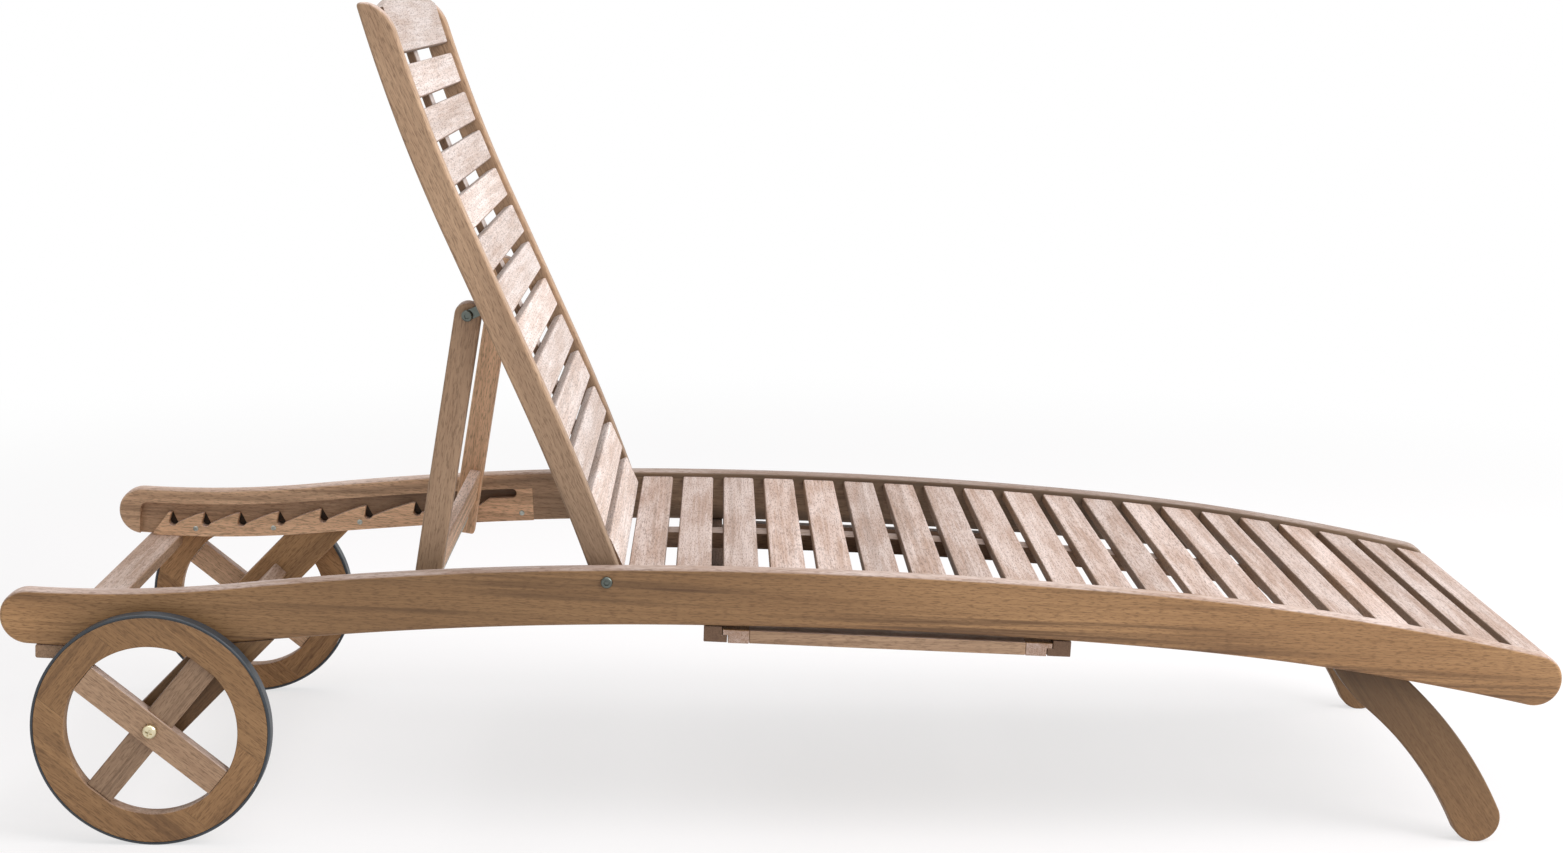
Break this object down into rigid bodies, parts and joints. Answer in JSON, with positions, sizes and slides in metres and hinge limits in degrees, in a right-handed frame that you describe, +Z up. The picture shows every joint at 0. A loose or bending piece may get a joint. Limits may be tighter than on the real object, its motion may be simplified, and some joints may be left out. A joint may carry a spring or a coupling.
{
  "type": "folding wooden sun lounger",
  "caption": "Wooden sun lounger with bowed rails, slatted seat, backrest that tilts on a notched rack, wheels at the head end, curved front legs and a pull-out tray.",
  "frame": {"origin": "on the floor, under the middle of the lounger", "axes": "+X to the foot end, +Y to the left of somebody lying on it, +Z up"},
  "size_m": [2, 0.726, 1.0762],
  "materials": {
    "rail_wood": "oiled",
    "slat_wood": "oiled",
    "wheel_wood": "oiled",
    "steel": "zinc plated",
    "brassed_steel": "satin",
    "tyre": "matt"
  },
  "bodies": {
    "frame": {"axle": "steel", "axle_beam": "rail_wood", "axle_cap_nut_left": "brassed_steel", "axle_cap_nut_right": "brassed_steel", "back_leg_left": "rail_wood", "back_leg_right": "rail_wood", "front_leg_left": "rail_wood", "front_leg_right": "rail_wood", "head_cross_bar": "slat_wood", "hinge_bolt_left": "steel", "hinge_bolt_right": "steel", "rack_left": "rail_wood", "rack_right": "rail_wood", "seat_batten": "rail_wood", "seat_slat_01": "slat_wood", "seat_slat_02": "slat_wood", "seat_slat_03": "slat_wood", "seat_slat_04": "slat_wood", "seat_slat_05": "slat_wood", "seat_slat_06": "slat_wood", "seat_slat_07": "slat_wood", "seat_slat_08": "slat_wood", "seat_slat_09": "slat_wood", "seat_slat_10": "slat_wood", "seat_slat_11": "slat_wood", "seat_slat_12": "slat_wood", "seat_slat_13": "slat_wood", "seat_slat_14": "slat_wood", "seat_slat_15": "slat_wood", "seat_slat_16": "slat_wood", "seat_slat_17": "slat_wood", "seat_slat_18": "slat_wood", "seat_slat_19": "slat_wood", "seat_slat_20": "slat_wood", "side_rail_left": "rail_wood", "side_rail_right": "rail_wood", "tray_runner_foot": "rail_wood", "tray_runner_head": "rail_wood", "tray_stop": "rail_wood"},
    "backrest": {"back_slat_panel": "slat_wood", "back_stile_left": "rail_wood", "back_stile_right": "rail_wood", "head_board": "slat_wood", "prop_bracket_left": "steel", "prop_bracket_right": "steel", "prop_pivot_bolt_left": "steel", "prop_pivot_bolt_right": "steel"},
    "prop": {"prop_leg_left": "rail_wood", "prop_leg_right": "rail_wood", "prop_rod": "steel", "prop_stretcher": "slat_wood"},
    "tray": {"tray_panel": "slat_wood", "tray_side_foot": "slat_wood", "tray_side_head": "slat_wood"},
    "left_wheel": {"wheel_rim_left": "wheel_wood", "wheel_spokes_left": "wheel_wood", "wheel_tyre_left": "tyre"},
    "right_wheel": {"wheel_rim_right": "wheel_wood", "wheel_spokes_right": "wheel_wood", "wheel_tyre_right": "tyre"}
  },
  "joints": [
    {"name": "back_hinge", "type": "hinge", "parent": "frame", "child": "backrest", "pos_m": [-0.2326, 0, 0.3433], "axis": [0, -1, 0], "range_deg": [-4.5, 65.7]},
    {"name": "prop_pivot", "type": "hinge", "parent": "backrest", "child": "prop", "pos_m": [-0.41194, 0, 0.67488], "axis": [0, -1, 0], "range_deg": [-148, 11]},
    {"name": "right_wheel_spin", "type": "hinge", "parent": "frame", "child": "right_wheel", "pos_m": [-0.8075, -0.3435, 0.1515], "axis": [0, 1, 0], "continuous": true},
    {"name": "left_wheel_spin", "type": "hinge", "parent": "frame", "child": "left_wheel", "pos_m": [-0.8075, 0.3435, 0.1515], "axis": [0, 1, 0], "continuous": true},
    {"name": "tray_slide", "type": "slide", "parent": "frame", "child": "tray", "axis": [0, -1, 0], "range_m": [-0.302, 0.25]}
  ],
  "couplings": [
    {"joint": "prop_pivot", "follows": "back_hinge", "ratio": -2.24}
  ]
}
